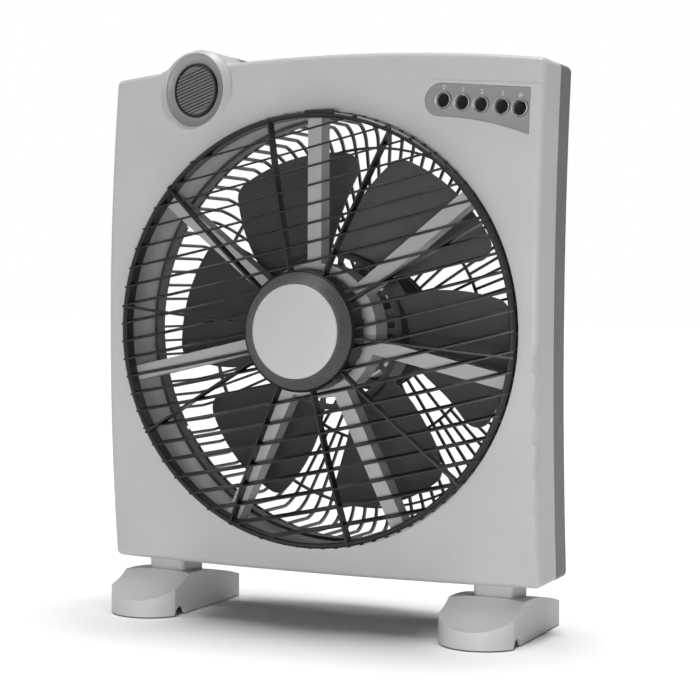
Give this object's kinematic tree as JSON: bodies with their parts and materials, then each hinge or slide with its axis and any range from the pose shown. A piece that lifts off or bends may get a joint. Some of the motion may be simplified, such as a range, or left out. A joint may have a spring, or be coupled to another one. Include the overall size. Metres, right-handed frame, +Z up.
{
  "type": "box fan",
  "caption": "Floor box fan: bowed square housing on two feet, turning louvre grille over a bladed rotor, push keys and a rotary timer.",
  "frame": {"origin": "on the floor, midway between the two feet, under the middle of the fan's depth", "axes": "+X to the right seen from the front, +Y from the louvre grille towards the back, +Z up"},
  "size_m": [0.434, 0.186, 0.5335],
  "materials": {
    "housing_light": "light grey, fine grain",
    "housing_dark": "dark grey, fine grain",
    "grille_black": "black, semi-gloss",
    "guard_black": "black, satin",
    "spider_light": "light grey, satin",
    "blade_grey": "dark grey, satin",
    "hub_smoke": "smoked, glossy",
    "cap_light": "light grey, satin",
    "panel_grey": "mid grey, satin",
    "button_black": "black, glossy, bright rim",
    "knob_dark": "dark grey, ribbed",
    "inner_black": "black, plain",
    "gear_white": "natural acetal",
    "steel": "bright",
    "lamination": "oiled silicon steel",
    "alloy": "as cast",
    "copper": "enamelled copper",
    "bronze": "sintered bronze",
    "rubber": "matt",
    "key_bright": "bright plated plastic"
  },
  "bodies": {
    "base": {"front_shell": "housing_light", "rear_shell": "housing_dark", "cord_gland": "inner_black", "grille_spider": "spider_light", "louvre_motor": "alloy", "louvre_motor_screws": "steel", "axle_washer": "steel", "axle_screw": "steel", "drum_cover": "spider_light", "stator": "lamination", "windings": "copper", "motor_screws": "steel", "motor_cover": "guard_black", "rear_grille": "guard_black", "rear_grille_screws": "steel", "spider_screws": "steel", "shell_screws": "steel", "control_panel": "panel_grey", "switch_block": "inner_black", "timer_bezel": "panel_grey", "timer_body": "inner_black", "timer_screws": "steel", "foot_screws": "steel", "capacitor": "inner_black", "motor_front_bell": "alloy", "motor_rear_bell": "alloy", "front_bearing": "bronze", "rear_bearing": "bronze", "left_foot": "housing_light", "right_foot": "housing_light", "left_foot_pads": "rubber", "right_foot_pads": "rubber"},
    "fan_rotor": {"impeller": "blade_grey", "impeller_nut": "inner_black", "motor_shaft": "steel", "rotor": "lamination"},
    "louvre_wheel": {"louvre_grille": "grille_black", "hub_cone": "hub_smoke", "hub_cap": "cap_light", "ring_gear": "gear_white"},
    "pinion": {"louvre_pinion": "gear_white"},
    "timer_dial": {"timer_knob": "knob_dark", "timer_shaft": "steel"},
    "key_1": {"button_1": "button_black", "key_ring_1": "key_bright"},
    "key_2": {"button_2": "button_black", "key_ring_2": "key_bright"},
    "key_3": {"button_3": "button_black", "key_ring_3": "key_bright"},
    "key_4": {"button_4": "button_black", "key_ring_4": "key_bright"},
    "key_5": {"button_5": "button_black", "key_ring_5": "key_bright"}
  },
  "joints": [
    {"name": "blade_spin", "type": "hinge", "parent": "base", "child": "fan_rotor", "pos_m": [0, 0.029, 0.2705], "axis": [0, 1, 0], "continuous": true},
    {"name": "louvre_spin", "type": "hinge", "parent": "base", "child": "louvre_wheel", "pos_m": [0, -0.061, 0.2705], "axis": [0, 1, 0], "continuous": true},
    {"name": "pinion_spin", "type": "hinge", "parent": "base", "child": "pinion", "pos_m": [0, -0.061, 0.2325], "axis": [0, 1, 0], "continuous": true},
    {"name": "timer_turn", "type": "hinge", "parent": "base", "child": "timer_dial", "pos_m": [-0.128, -0.04416, 0.495], "axis": [0.1564, 0.9877, 0], "range_deg": [0, 300]},
    {"name": "key_1_push", "type": "slide", "parent": "base", "child": "key_1", "axis": [0, 1, 0], "range_m": [0, 0.004], "stiffness_N_per_m": 300, "springref_m": -0.002},
    {"name": "key_2_push", "type": "slide", "parent": "base", "child": "key_2", "axis": [0, 1, 0], "range_m": [0, 0.004], "stiffness_N_per_m": 300, "springref_m": -0.002},
    {"name": "key_3_push", "type": "slide", "parent": "base", "child": "key_3", "axis": [0, 1, 0], "range_m": [0, 0.004], "stiffness_N_per_m": 300, "springref_m": -0.002},
    {"name": "key_4_push", "type": "slide", "parent": "base", "child": "key_4", "axis": [0, 1, 0], "range_m": [0, 0.004], "stiffness_N_per_m": 300, "springref_m": -0.002},
    {"name": "key_5_push", "type": "slide", "parent": "base", "child": "key_5", "axis": [0, 1, 0], "range_m": [0, 0.004], "stiffness_N_per_m": 300, "springref_m": -0.002}
  ],
  "couplings": [
    {"joint": "pinion_spin", "follows": "louvre_spin", "ratio": 4.1667}
  ]
}
